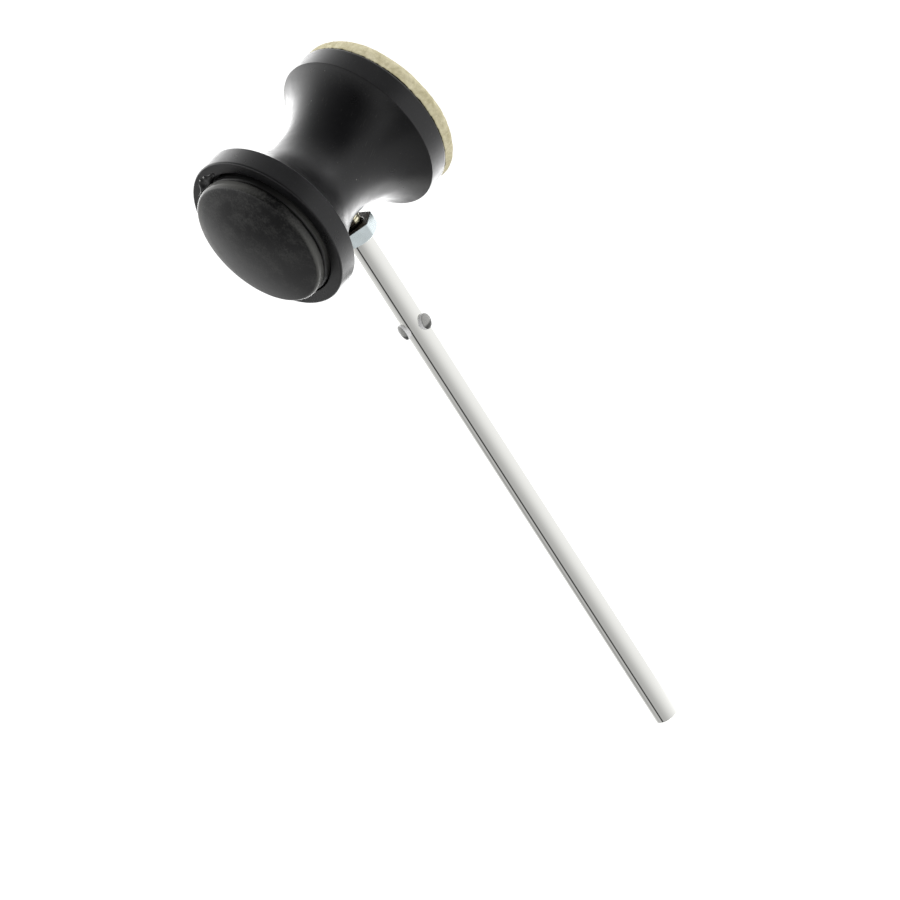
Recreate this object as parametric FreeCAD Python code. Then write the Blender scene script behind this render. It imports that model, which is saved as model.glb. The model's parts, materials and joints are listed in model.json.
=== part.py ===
import FreeCAD, Part
import math
import os

# A two-faced bass drum beater. The shaft stands along +Z with its lower end at the origin,
# the head's axis crosses it along X, with the felt face at +X and the hard face at -X.
# All lengths are in millimetres and all angles in degrees.

# Shaft: a chromed rod with a chamfered foot, three raised stop lugs and a thread at the top
shaft_diameter = 8.0
shaft_foot_chamfer = 0.5
shaft_foot_to_head_axis = 220.0
shaft_tip_above_head_axis = 3.0
shaft_tip_chamfer = 0.8
thread_crest_undersize = 0.05
thread_run_out = 0.4

# Stop lugs: low round buttons with domed tops. The shallow neck under them is a guess,
# and ends the plain stretch of the rod that a clamp can take.
lug_count = 3
lug_first_angle = 44.0
lug_drop_below_head_axis = 59.2
lug_diameter = 5.4
lug_height = 1.45
lug_dome_height = 0.5
lug_edge_radius = 0.4
lug_foot_radius = 0.25
lug_neck_depth = 0.2
lug_neck_margin = 0.6

# Lock nut: a thin hexagon nut, chamfered on its lower side, run down to the end of the thread
nut_side_count = 6
nut_across_flats = 13.0
nut_height = 5.0
nut_chamfer_angle = 30.0
nut_chamfer_circle_share = 0.95
nut_countersink = 0.5
nut_turn_angle = 31.0
bare_thread_length = 3.2
thread_fit_clearance = 0.05

# Head core: one black moulding, two cylindrical bands joined by a hollowed waist
band_diameter = 56.1
waist_diameter = 32.8
waist_span = 41.6
hard_band_width = 7.0
felt_band_width = 7.2
band_edge_radius = 0.6
band_wall = 4.3
recess_depth = 4.0
recess_edge_radius = 0.4
shaft_entry_clearance = 0.3

# Thread insert: a metal sleeve moulded into the core, with a groove that keys it
insert_wall = 2.0
insert_end_cover = 1.4
insert_top_clearance = 1.2
insert_groove_depth = 0.8
insert_groove_width = 4.0
insert_edge_chamfer = 0.4

# Hard face: a backing disc glued in the recess, and a domed striking cap on it
cap_side_gap = 0.75
backing_stand_out = 1.6
backing_edge_radius = 0.5
cap_edge_height = 3.35
cap_dome_height = 3.0
cap_edge_radius = 1.2

# Felt face: a pressed felt pad glued flat on the core
felt_inset = 0.25
felt_edge_height = 5.2
felt_crown_height = 1.2
felt_edge_radius = 2.4

# Margin by which a cutting solid passes the faces that it opens
cut_overrun = 2.0

# Places and radii that several pieces share
shaft_radius = shaft_diameter / 2
thread_radius = shaft_radius - thread_crest_undersize
thread_bore_radius = thread_radius + thread_fit_clearance
head_axis_height = shaft_foot_to_head_axis
shaft_tip_height = head_axis_height + shaft_tip_above_head_axis
lug_height_on_shaft = head_axis_height - lug_drop_below_head_axis
waist_radius = waist_diameter / 2
band_radius = band_diameter / 2
recess_radius = band_radius - band_wall
cap_radius = recess_radius - cap_side_gap
felt_radius = band_radius - felt_inset
nut_top_height = head_axis_height - waist_radius - bare_thread_length
nut_foot_height = nut_top_height - nut_height
hard_face_place = -(waist_span / 2 + hard_band_width)
felt_face_place = waist_span / 2 + felt_band_width
recess_floor_place = hard_face_place + recess_depth
backing_face_place = hard_face_place - backing_stand_out
insert_radius = thread_bore_radius + insert_wall
insert_foot_drop = waist_radius - insert_end_cover
insert_top_rise = shaft_tip_above_head_axis + insert_top_clearance

along_shaft = FreeCAD.Vector(0, 0, 1)
along_head = FreeCAD.Vector(1, 0, 0)
centre = FreeCAD.Vector(0, 0, 0)


def place_on(axis, along, out):
    """The point at a distance along an axis through the origin and a distance out from it."""
    across = along_head if axis == along_shaft else along_shaft
    return axis * along + across * out


def turned(axis, start, steps):
    """A solid turned about an axis from a closed profile of (along, out) places.

    A step of one place is a line to it, a step of two is an arc through the first to the second.
    """
    edges = []
    here = place_on(axis, *start)
    for step in steps:
        points = [place_on(axis, *place) for place in step]
        if len(points) == 1:
            curve = Part.LineSegment(here, points[0])
        else:
            curve = Part.Arc(here, points[0], points[1])
        edges.append(curve.toShape())
        here = points[-1]
    edges.append(Part.LineSegment(here, place_on(axis, *start)).toShape())
    return Part.Face(Part.Wire(edges)).revolve(centre, axis, 360)


def ring_edges(solid, axis, places):
    """The circular edges of a turned solid at the given (along, out) places."""
    found = []
    for edge in solid.Edges:
        if edge.Degenerated or not isinstance(edge.Curve, Part.Circle):
            continue
        along = edge.Curve.Center.dot(axis)
        for place_along, place_out in places:
            near = math.isclose(along, place_along, abs_tol=1e-6)
            if near and math.isclose(edge.Curve.Radius, place_out, abs_tol=1e-6):
                found.append(edge)
    return found


def domed_disc(back_place, facing, radius, edge_height, dome_height, edge_radius):
    """A disc about the X axis, flat at the back, domed in front and rounded at its rim.

    facing is 1 for a front towards +X and -1 for a front towards -X.
    """
    rim_place = back_place + facing * edge_height
    sphere_radius = (radius ** 2 + dome_height ** 2) / (2 * dome_height)
    half_out = radius / 2
    half_rise = math.sqrt(sphere_radius ** 2 - half_out ** 2) - sphere_radius + dome_height
    dome_middle = (rim_place + facing * half_rise, half_out)
    dome_top = (rim_place + facing * dome_height, 0)
    disc = turned(
        along_head,
        (back_place, 0),
        [
            [(back_place, radius)],
            [(rim_place, radius)],
            [dome_middle, dome_top],
        ],
    )
    edges = ring_edges(disc, along_head, [(rim_place, radius)])
    return disc.makeFillet(edge_radius, edges)


def raised_to_head(solid):
    """The solid moved from the origin up to where the head's axis crosses the shaft."""
    return solid.translated(along_shaft * head_axis_height)


def make_shaft():
    """The rod with its chamfered ends, its thread's crest cylinder, and its stop lugs."""
    neck_half = lug_diameter / 2 + lug_neck_margin
    neck_floor = (lug_height_on_shaft, shaft_radius - lug_neck_depth)
    thread_start = nut_foot_height - thread_run_out
    rod = turned(
        along_shaft,
        (0, 0),
        [
            [(0, shaft_radius - shaft_foot_chamfer)],
            [(shaft_foot_chamfer, shaft_radius)],
            [(lug_height_on_shaft - neck_half, shaft_radius)],
            [neck_floor, (lug_height_on_shaft + neck_half, shaft_radius)],
            [(thread_start, shaft_radius)],
            [(nut_foot_height, thread_radius)],
            [(shaft_tip_height - shaft_tip_chamfer, thread_radius)],
            [(shaft_tip_height, thread_radius - shaft_tip_chamfer)],
            [(shaft_tip_height, 0)],
        ],
    )
    # A lug is a domed disc that starts at the rod's axis, and is fused where it leaves the rod
    lug_rim_reach = shaft_radius + lug_height - lug_dome_height
    lug = domed_disc(0, 1, lug_diameter / 2, lug_rim_reach, lug_dome_height, lug_edge_radius)
    lug = lug.translated(along_shaft * lug_height_on_shaft)
    for number in range(lug_count):
        angle = lug_first_angle + number * 360 / lug_count
        rod = rod.fuse(lug.rotated(centre, along_shaft, angle))
    rod = rod.removeSplitter()
    real_edges = [edge for edge in rod.Edges if not edge.Degenerated]
    lug_feet = [edge for edge in real_edges if isinstance(edge.Curve, Part.BSplineCurve)]
    return rod.makeFillet(lug_foot_radius, lug_feet)


def make_lock_nut():
    """The hexagon, its lower corners chamfered, bored and countersunk for the thread."""
    corner_radius = nut_across_flats / 2 / math.cos(math.pi / nut_side_count)
    corners = []
    for number in range(nut_side_count + 1):
        angle = math.radians(nut_turn_angle + number * 360 / nut_side_count)
        corner = FreeCAD.Vector(math.cos(angle), math.sin(angle), 0) * corner_radius
        corners.append(corner + along_shaft * nut_foot_height)
    hexagon = Part.Face(Part.makePolygon(corners)).extrude(along_shaft * nut_height)
    chamfer_circle = nut_across_flats / 2 * nut_chamfer_circle_share
    chamfer_rise = (corner_radius - chamfer_circle) * math.tan(math.radians(nut_chamfer_angle))
    chamfered_bar = turned(
        along_shaft,
        (nut_foot_height, 0),
        [
            [(nut_foot_height, chamfer_circle)],
            [(nut_foot_height + chamfer_rise, corner_radius)],
            [(nut_top_height, corner_radius)],
            [(nut_top_height, 0)],
        ],
    )
    threaded_hole = turned(
        along_shaft,
        (nut_foot_height, 0),
        [
            [(nut_foot_height, thread_bore_radius + nut_countersink)],
            [(nut_foot_height + nut_countersink, thread_bore_radius)],
            [(nut_top_height - nut_countersink, thread_bore_radius)],
            [(nut_top_height, thread_bore_radius + nut_countersink)],
            [(nut_top_height, 0)],
        ],
    )
    return hexagon.common(chamfered_bar).cut(threaded_hole)


def insert_body():
    """The insert's outside, which the core is moulded around, about the head's centre."""
    groove_floor = insert_radius - insert_groove_depth
    middle = (insert_top_rise - insert_foot_drop) / 2
    groove_low = middle - insert_groove_width / 2
    groove_high = middle + insert_groove_width / 2
    return turned(
        along_shaft,
        (-insert_foot_drop, 0),
        [
            [(-insert_foot_drop, insert_radius - insert_edge_chamfer)],
            [(-insert_foot_drop + insert_edge_chamfer, insert_radius)],
            [(groove_low, insert_radius)],
            [(groove_low, groove_floor)],
            [(groove_high, groove_floor)],
            [(groove_high, insert_radius)],
            [(insert_top_rise - insert_edge_chamfer, insert_radius)],
            [(insert_top_rise, insert_radius - insert_edge_chamfer)],
            [(insert_top_rise, 0)],
        ],
    )


def make_thread_insert():
    """The insert with its threaded hole right through."""
    hole_foot = along_shaft * (-insert_foot_drop - cut_overrun)
    hole_length = insert_foot_drop + insert_top_rise + 2 * cut_overrun
    hole = Part.makeCylinder(thread_bore_radius, hole_length, hole_foot, along_shaft)
    return raised_to_head(insert_body().cut(hole))


def make_head_core():
    """The moulding: bands, hollowed waist, recess for the hard face and pocket for the insert."""
    waist_half = waist_span / 2
    core = turned(
        along_head,
        (recess_floor_place, 0),
        [
            [(recess_floor_place, recess_radius)],
            [(hard_face_place, recess_radius)],
            [(hard_face_place, band_radius)],
            [(-waist_half, band_radius)],
            [(0, waist_radius), (waist_half, band_radius)],
            [(felt_face_place, band_radius)],
            [(felt_face_place, 0)],
        ],
    )
    band_edges = [
        (hard_face_place, band_radius),
        (-waist_half, band_radius),
        (waist_half, band_radius),
        (felt_face_place, band_radius),
    ]
    core = core.makeFillet(band_edge_radius, ring_edges(core, along_head, band_edges))
    recess_edges = [(hard_face_place, recess_radius)]
    core = core.makeFillet(recess_edge_radius, ring_edges(core, along_head, recess_edges))
    entry_radius = shaft_radius + shaft_entry_clearance
    entry_foot = along_shaft * (-waist_radius - cut_overrun)
    entry_length = waist_radius + cut_overrun - insert_foot_drop
    entry = Part.makeCylinder(entry_radius, entry_length, entry_foot, along_shaft)
    return raised_to_head(core.cut(insert_body()).cut(entry))


def make_cap_backing():
    """The disc between the recess floor and the striking cap."""
    disc = turned(
        along_head,
        (recess_floor_place, 0),
        [
            [(recess_floor_place, cap_radius)],
            [(backing_face_place, cap_radius)],
            [(backing_face_place, 0)],
        ],
    )
    edges = ring_edges(disc, along_head, [(backing_face_place, cap_radius)])
    return raised_to_head(disc.makeFillet(backing_edge_radius, edges))


def make_striking_cap():
    """The hard disc that meets the drum head."""
    disc = domed_disc(
        backing_face_place, -1, cap_radius, cap_edge_height, cap_dome_height, cap_edge_radius
    )
    return raised_to_head(disc)


def make_felt_pad():
    """The soft disc that meets the drum head."""
    disc = domed_disc(
        felt_face_place, 1, felt_radius, felt_edge_height, felt_crown_height, felt_edge_radius
    )
    return raised_to_head(disc)


pieces = {
    "shaft": make_shaft,
    "lock_nut": make_lock_nut,
    "head_core": make_head_core,
    "thread_insert": make_thread_insert,
    "cap_backing": make_cap_backing,
    "striking_cap": make_striking_cap,
    "felt_pad": make_felt_pad,
}

os.makedirs("parts", exist_ok=True)
for name, make in pieces.items():
    shape = make()
    print(name, "valid", shape.isValid(), "solids", len(shape.Solids), "volume", round(shape.Volume, 1))
    shape.exportStep(f"parts/{name}.step")
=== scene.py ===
import json
import math
from collections import namedtuple

import bpy
import numpy as np
from bpy.props import FloatProperty, FloatVectorProperty, IntProperty, PointerProperty
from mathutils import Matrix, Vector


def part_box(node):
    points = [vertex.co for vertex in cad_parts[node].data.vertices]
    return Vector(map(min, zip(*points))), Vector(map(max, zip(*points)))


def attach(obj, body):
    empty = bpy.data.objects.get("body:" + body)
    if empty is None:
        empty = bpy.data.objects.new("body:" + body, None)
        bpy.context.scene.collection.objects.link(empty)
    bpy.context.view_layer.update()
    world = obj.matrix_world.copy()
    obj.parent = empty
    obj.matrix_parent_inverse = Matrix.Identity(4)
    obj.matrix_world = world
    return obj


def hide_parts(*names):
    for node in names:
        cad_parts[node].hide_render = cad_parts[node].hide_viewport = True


bl_info = {
    "name": "Bass drum beater",
    "version": (1, 0, 0),
    "blender": (4, 5, 0),
    "location": "3D View > Sidebar > Beater",
    "description": "Dresses the solid model of a two-faced bass drum beater and sets up its studio",
    "category": "Object",
}

# The solid model: the shaft stands along Z, the head's axis crosses it along X
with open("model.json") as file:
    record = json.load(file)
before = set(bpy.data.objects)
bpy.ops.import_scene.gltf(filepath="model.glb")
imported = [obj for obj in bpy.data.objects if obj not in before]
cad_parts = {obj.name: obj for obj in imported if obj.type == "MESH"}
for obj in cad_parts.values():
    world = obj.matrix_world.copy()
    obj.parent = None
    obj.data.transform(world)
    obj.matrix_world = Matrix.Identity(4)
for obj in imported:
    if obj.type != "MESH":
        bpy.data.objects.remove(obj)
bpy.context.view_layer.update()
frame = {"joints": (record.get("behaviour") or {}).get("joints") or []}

MM = 0.001
HEAD_HEIGHT = frame["joints"][0]["pos_m"][2]
HEAD_CENTRE = np.array([0.0, 0.0, HEAD_HEIGHT])
SHAFT_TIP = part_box("shaft")[1].z
NUT_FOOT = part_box("lock_nut")[0].z
NUT_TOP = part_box("lock_nut")[1].z
HARD_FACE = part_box("head_core")[0].x
FELT_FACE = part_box("head_core")[1].x
RECESS_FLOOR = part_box("cap_backing")[1].x
BACKING_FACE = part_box("cap_backing")[0].x
CAP_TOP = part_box("striking_cap")[0].x
FELT_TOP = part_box("felt_pad")[1].x
INSERT_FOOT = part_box("thread_insert")[0].z
INSERT_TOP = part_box("thread_insert")[1].z

# Points as an array of places, quads and triangles as arrays of point numbers
Surface = namedtuple("Surface", "points quads triangles")

# Inputs of the mix node, which has several of one name: the share, two numbers and two colours
SHARE = 0
FROM_NUMBER = 2
TO_NUMBER = 3
FROM_COLOUR = 6
TO_COLOUR = 7


def linear(code):
    """The linear red, green, blue and full alpha of an sRGB hex colour."""
    channels = np.array([int(code[start:start + 2], 16) for start in (1, 3, 5)]) / 255
    light = np.where(channels <= 0.04045, channels / 12.92, ((channels + 0.055) / 1.055) ** 2.4)
    return (*light.tolist(), 1.0)


def length(name, description, millimetres):
    """A size that a user can change, given in millimetres and kept in metres."""
    return FloatProperty(
        name=name, description=description, default=millimetres * MM, unit="LENGTH", precision=5
    )


def angle(name, description, degrees):
    """An angle that a user can change, given in degrees and kept in radians."""
    return FloatProperty(
        name=name, description=description, default=math.radians(degrees), subtype="ANGLE"
    )


def colour(name, description, code):
    """A colour that a user can change, given as an sRGB hex code and kept as linear light."""
    return FloatVectorProperty(
        name=name, description=description, default=linear(code), size=4, subtype="COLOR", min=0, max=1
    )


def count(name, description, number):
    """A number of like things that a user can change."""
    return IntProperty(name=name, description=description, default=number)


class BeaterShaft(bpy.types.PropertyGroup):
    """Sizes and colours of the shaft."""

    diameter: length("Diameter", "Width of the plain rod", 8.0)
    foot_chamfer: length("Foot chamfer", "Bevel at the lower end", 0.5)
    tip_chamfer: length("Tip chamfer", "Bevel at the threaded end", 0.8)
    thread_undersize: length("Thread undersize", "How far the thread's crests lie below the rod", 0.05)
    thread_pitch: length("Thread pitch", "Rise of the thread in one turn", 1.25)
    thread_depth: length("Thread depth", "From the thread's crests to its roots", 0.2)
    plate: colour("Plate", "Chrome plate", "#f2f2ee")
    # Painted shade on the thread, darker than its plate
    painted_shade_tint: colour("Oil", "Old oil on the thread", "#3a342e")


class BeaterLugs(bpy.types.PropertyGroup):
    """Sizes and colours of the stop lugs."""

    lug_count: count("Lugs", "Stop lugs round the rod", 3)
    lug_angle: angle("Lug angle", "Where the first lug stands", 44)
    lug_drop: length("Lug drop", "From the head's axis down to the lugs", 59.2)
    lug_length: length("Lug length", "Size of a lug along the rod", 5.4)
    lug_width: length("Lug width", "Size of a lug round the rod", 4.8)
    lug_height: length("Lug height", "How far a lug stands out of the rod", 1.45)
    lug_dome: length("Lug dome", "How far a lug's top bulges", 0.5)
    lug_edge: length("Lug edge", "Rounding of a lug's rim", 0.4)
    grey: colour("Grey", "Dull plate on a lug's top", "#c6c6c2")
    # Painted shade at a lug's lower end
    dark: colour("Dark", "Dull plate at a lug's lower end", "#343432")


class BeaterNut(bpy.types.PropertyGroup):
    """Sizes and colours of the lock nut."""

    across_flats: length("Across flats", "Width over two opposite flats", 13.0)
    bore: length("Bore", "Width of the hole over the thread", 8.0)
    countersink: length("Countersink", "Bevel at both ends of the hole", 0.5)
    edge_ease: length("Edge ease", "Rounding of the sharp upper edge", 0.1)
    turn: angle("Turn", "Where the first corner points", 31)
    plate: colour("Plate", "Blue zinc plate", "#ecf7fa")
    # Painted shade on the nut's upper face
    upper_face_shade_tint: colour("Grime", "Old oil on the upper face", "#5c544e")


class BeaterCore(bpy.types.PropertyGroup):
    """Sizes and colours of the head's core and of the insert in it."""

    band_diameter: length("Band diameter", "Width of the two bands", 56.1)
    waist_diameter: length("Waist diameter", "Width of the narrowest place", 32.8)
    waist_span: length("Waist span", "Distance between the two bands", 41.6)
    band_edge: length("Band edge", "Rounding of the bands' outer edges", 0.6)
    waist_edge: length("Waist edge", "Rounding of the bands' edges at the waist", 0.2)
    band_wall: length("Band wall", "Wall round the recess", 4.3)
    recess_edge: length("Recess edge", "Rounding of the recess's edge", 0.4)
    entry_diameter: length("Entry diameter", "Hole where the shaft goes in", 8.6)
    insert_diameter: length("Insert diameter", "Outside of the threaded insert", 12.0)
    insert_bore: length("Insert bore", "Hole in the threaded insert", 8.0)
    insert_chamfer: length("Insert chamfer", "Bevel at the insert's ends", 0.4)
    black: colour("Black", "Colour of the moulding", "#121214")
    brass: colour("Brass", "Colour of the insert", "#cfae6a")


class BeaterHardFace(bpy.types.PropertyGroup):
    """Sizes and colours of the backing disc, the striking cap and the glue."""

    diameter: length("Diameter", "Width of the backing and the cap", 46.0)
    cap_edge_height: length("Cap edge height", "Height of the cap's straight side", 3.35)
    cap_edge: length("Cap edge", "Rounding of the cap's rim", 1.2)
    backing_edge: length("Backing edge", "Rounding of the backing's rim", 0.8)
    ripple: length("Ripple", "How far the cut edge of the backing wanders", 0.3)
    backing_shift: length("Backing shift", "How far the backing is glued off centre", 0.35)
    glue_start: angle("Glue start", "Where the squeezed-out glue begins", 112)
    glue_end: angle("Glue end", "Where the squeezed-out glue ends", 172)
    glue_width: length("Glue width", "How far the squeezed-out glue spreads", 3.4)
    glue_height: length("Glue height", "How far the squeezed-out glue stands out", 0.4)
    rubber: colour("Rubber", "Colour of the hard rubber", "#0f0f10")
    scuff: colour("Scuff", "Colour of the scuffed places", "#3e3e3c")
    # Wear with a painted highlight on the cap's rim and side, and a painted highlight on the backing's edge
    wear_and_highlight: colour("Worn", "Colour of the worn rim and side", "#565653")
    backing: colour("Backing", "Colour of the backing sheet", "#1c1c1c")


class BeaterFelt(bpy.types.PropertyGroup):
    """Sizes and colours of the felt pad."""

    diameter: length("Diameter", "Width of the pad", 55.6)
    edge_height: length("Edge height", "Height of the pad's side", 5.2)
    edge: length("Edge", "Rounding of the pad's front edge", 2.4)
    wander: length("Wander", "How far the cut edge strays from a circle", 0.1)
    fibre_length: length("Fibre length", "Length of a loose fibre", 0.9)
    fibre_count: count("Fibres", "Loose fibres that stand out of the felt", 2000)
    pale: colour("Pale", "Pale wool", "#e9e2c2")
    dark: colour("Dark", "Darker wool", "#c0b791")
    # Near black at the foot of the felt's side, along the joint with the core
    glue: colour("Glue", "Black glue at the foot of the side", "#1c1a18")


class BeaterStudio(bpy.types.PropertyGroup):
    """Sizes of the studio."""

    floor_drop: length("Floor drop", "How far the floor lies below the shaft's foot", 250.0)
    field_width: length("Field width", "Width that the camera sees at the beater", 276.9)
    camera_distance: length("Camera distance", "From the camera to the beater", 4000.0)


def rounded(corners, steps=8):
    """An outline of (along, out) points from (along, out, radius) corners, each corner turned into an arc.

    An arc touches its two sides at radius / tan(half the corner's angle) from the corner. One more point on
    each side, close to the arc, keeps the shading of the side flat.
    """
    corners = np.array(corners, float)
    outline = [corners[:1, :2]]
    shares = np.linspace(0, 1, steps + 1)[:, None]
    beside = 0.06 * MM
    for before, here, after in zip(corners[:-2], corners[1:-1], corners[2:]):
        back = before[:2] - here[:2]
        back /= np.linalg.norm(back)
        on = after[:2] - here[:2]
        on /= np.linalg.norm(on)
        half = math.acos(np.clip(back @ on, -1, 1)) / 2
        reach = here[2] / math.tan(half)
        middle = here[:2] + (back + on) / np.linalg.norm(back + on) * here[2] / math.sin(half)
        first = here[:2] + back * reach - middle
        last = here[:2] + on * reach - middle
        turn = math.pi - 2 * half
        arc = middle + (np.sin((1 - shares) * turn) * first + np.sin(shares * turn) * last) / math.sin(turn)
        outline += [here[None, :2] + back * (reach + beside), arc, here[None, :2] + on * (reach + beside)]
    return np.vstack(outline + [corners[-1:, :2]])


def round_angles(columns):
    """Angles of the columns round a piece, as one row."""
    return np.arange(columns) * 2 * math.pi / columns


def rings_round_head(along, out, angles):
    """Rings round the head's axis: x is along, and the angle in YZ goes from -Z towards +Y."""
    along, out, angles = np.broadcast_arrays(along, out, angles)
    return np.stack([along, out * np.sin(angles), HEAD_HEIGHT - out * np.cos(angles)], axis=-1)


def rings_round_shaft(height, out, angles):
    """Rings round the shaft's axis: z is the height, and the angle in XY goes from +X towards +Y."""
    height, out, angles = np.broadcast_arrays(height, out, angles)
    return np.stack([out * np.cos(angles), out * np.sin(angles), height], axis=-1)


def skin(rings, start=None, end=None, loop=False):
    """Joins each ring of points to the next by quads, and in a loop the last to the first.

    A start or an end is one more point, a pole, which closes that side by a fan of triangles.
    """
    rows, columns = rings.shape[:2]
    here = np.arange(rows * columns).reshape(rows, columns)
    if loop:
        here = np.vstack([here, here[:1]])
    beside = np.roll(here, -1, axis=1)
    quads = np.stack([here[:-1], beside[:-1], beside[1:], here[1:]], axis=-1).reshape(-1, 4)
    points = rings.reshape(-1, 3)
    fans = [np.zeros((0, 3), int)]
    if start is not None:
        pole = np.full(columns, len(points))
        points = np.vstack([points, start])
        fans.append(np.stack([pole, beside[0], here[0]], axis=-1))
    if end is not None:
        pole = np.full(columns, len(points))
        points = np.vstack([points, end])
        fans.append(np.stack([here[-1], beside[-1], pole], axis=-1))
    return Surface(points, quads, np.vstack(fans))


def stacked(surfaces):
    """One surface from several that stay apart, with their points one after the other."""
    starts = np.cumsum([0] + [len(surface.points) for surface in surfaces[:-1]])
    points = np.vstack([surface.points for surface in surfaces])
    quads = np.vstack([surface.quads + start for surface, start in zip(surfaces, starts)])
    triangles = np.vstack([surface.triangles + start for surface, start in zip(surfaces, starts)])
    return Surface(points, quads, triangles)


def joined(surfaces):
    """One surface from several, with points at the same place, to a micron, made one."""
    points, quads, triangles = stacked(surfaces)
    microns = np.round(points / (0.001 * MM)).astype(int)
    _, kept, places = np.unique(microns, axis=0, return_index=True, return_inverse=True)
    places = places.ravel()
    return Surface(points[kept], places[quads], places[triangles])


def grain(points, wavelength, seed, waves=28):
    """A smooth random field of about -1 to 1: the sum of random plane waves near one wavelength."""
    random = np.random.default_rng(seed)
    directions = random.normal(size=(waves, 3))
    directions /= np.linalg.norm(directions, axis=1, keepdims=True)
    speeds = 2 * math.pi / wavelength * random.uniform(0.7, 1.4, waves)
    phases = random.uniform(0, 2 * math.pi, waves)
    return np.sin(points @ (directions * speeds[:, None]).T + phases).sum(axis=-1) / math.sqrt(waves)


def smooth_step(low, high, values):
    """0 on low's side, 1 on high's side and 3t^2 - 2t^3 between, where low may be the larger of the two."""
    share = np.clip((values - low) / (high - low), 0, 1)
    return share * share * (3 - 2 * share)


def between(start, full, fading, end, values):
    """0 up to start, 1 from full to fading, and 0 from end on, with smooth steps."""
    return smooth_step(start, full, values) * smooth_step(end, fading, values)


def bump_round(degrees, middle, width):
    """A smooth bump of height 1 round the circle: exp(-(d / width)^2) at d degrees from its middle."""
    off = (degrees - middle + 180) % 360 - 180
    return np.exp(-(off / width) ** 2)


def check_closed(name, surface):
    """Raises an error unless each edge has one face on each side, both turned outwards."""
    edges = []
    for faces in (surface.quads, surface.triangles):
        edges.append(np.stack([faces, np.roll(faces, -1, axis=1)], axis=-1).reshape(-1, 2))
    edges = np.vstack(edges)
    total = len(surface.points)
    forward = np.unique(edges[:, 0] * total + edges[:, 1])
    backward = np.unique(edges[:, 1] * total + edges[:, 0])
    if len(forward) != len(edges) or not np.array_equal(forward, backward):
        raise RuntimeError(f"the surface of {name} isn't closed")
    a, b, c, d = (surface.points[surface.quads[:, corner]] for corner in range(4))
    volume = np.einsum("ij,ij->", a, np.cross(b, c) + np.cross(c, d))
    a, b, c = (surface.points[surface.triangles[:, corner]] for corner in range(3))
    volume += np.einsum("ij,ij->", a, np.cross(b, c))
    if volume <= 0:
        raise RuntimeError(f"the surface of {name} is inside out")


def put(name, data):
    """A new object in the scene for a mesh, a lamp or a camera."""
    thing = bpy.data.objects.new(name, data)
    bpy.context.scene.collection.objects.link(thing)
    return thing


def put_surface(name, surface, material):
    """A new object in the scene with a surface's points and faces and one material."""
    mesh = bpy.data.meshes.new(name)
    mesh.from_pydata(surface.points.tolist(), [], surface.quads.tolist() + surface.triangles.tolist())
    mesh.materials.append(material)
    return put(name, mesh)


def dress(name, surface, material, body, slot, *nodes):
    """Makes a smooth piece of a closed surface, which rides on a body and stands for the named solids."""
    check_closed(name, surface)
    piece = put_surface(name, surface, material)
    piece.data.polygons.foreach_set("use_smooth", np.ones(len(piece.data.polygons), bool))
    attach(piece, body)
    if nodes:
        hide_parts(*nodes)
    return piece


def add_attribute(piece, name, values, poles=()):
    """Keeps one number for each point of a piece, the poles' last, which its material reads by name."""
    attribute = piece.data.attributes.new(name, "FLOAT", "POINT")
    attribute.data.foreach_set("value", np.append(values, poles).astype(np.float32))


def add(tree, kind, inputs=(), **settings):
    """Adds a shader node with its settings, and fills its inputs with values and links.

    The inputs are given by name or number, or as a row in the node's own order. A link is another node's
    output, or the node itself, which stands for the first of its outputs that is in use.
    """
    node = tree.nodes.new("ShaderNode" + kind)
    for name, value in settings.items():
        setattr(node, name, value)
    if not isinstance(inputs, dict):
        inputs = dict(enumerate(inputs))
    for name, value in inputs.items():
        if isinstance(value, bpy.types.Node):
            value = next(output for output in value.outputs if output.enabled)
        if isinstance(value, bpy.types.NodeSocket):
            tree.links.new(value, node.inputs[name])
        else:
            node.inputs[name].default_value = value
    return node


def blank(name):
    """A new material with an empty node tree."""
    material = bpy.data.materials.new(name)
    material.use_nodes = True
    material.node_tree.nodes.clear()
    return material, material.node_tree


def per_metre(millimetres):
    """The scale at which a texture that repeats once in a unit has features of a size in millimetres."""
    return 1 / (millimetres * MM)


def chromed_drawn_steel(plate, painted_shade_tint):
    """Chrome plate on a drawn rod: a mirror with faint draw lines along it, cream and duller on the thread.

    Most of the thread is painted dark as shade, and a place on its -Y side is left cream as a painted
    highlight.
    """
    material, tree = blank("chromed drawn steel")
    place = add(tree, "TexCoord").outputs["Object"]
    thread = add(tree, "Attribute", attribute_name="thread").outputs["Fac"]
    painted_shade = add(tree, "Attribute", attribute_name="painted_shade").outputs["Fac"]
    # Draw lines are 0.25 mm wide and 30 mm long
    along = add(tree, "Mapping", {
        "Vector": place, "Scale": (per_metre(0.25), per_metre(0.25), per_metre(30)),
    })
    lines = add(tree, "TexNoise", {"Vector": along, "Scale": 1.0, "Detail": 3.0})
    drawn_blur = add(tree, "MapRange", {
        "Value": lines, "From Min": 0.3, "From Max": 0.7, "To Min": 0.04, "To Max": 0.1,
    })
    blur = add(tree, "Math", (thread, 0.1, drawn_blur), operation="MULTIPLY_ADD")
    cream = linear("#fff8d8")
    clean = add(tree, "Mix", {SHARE: thread, FROM_COLOUR: plate, TO_COLOUR: cream}, data_type="RGBA")
    # Painted shade darkens the thread, all but its painted highlight
    tint = add(tree, "Mix", {SHARE: painted_shade, FROM_COLOUR: clean, TO_COLOUR: painted_shade_tint}, data_type="RGBA")
    shader = add(tree, "BsdfPrincipled", {"Base Color": tint, "Metallic": 1.0, "Roughness": blur})
    add(tree, "OutputMaterial", {"Surface": shader})
    return material


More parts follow.
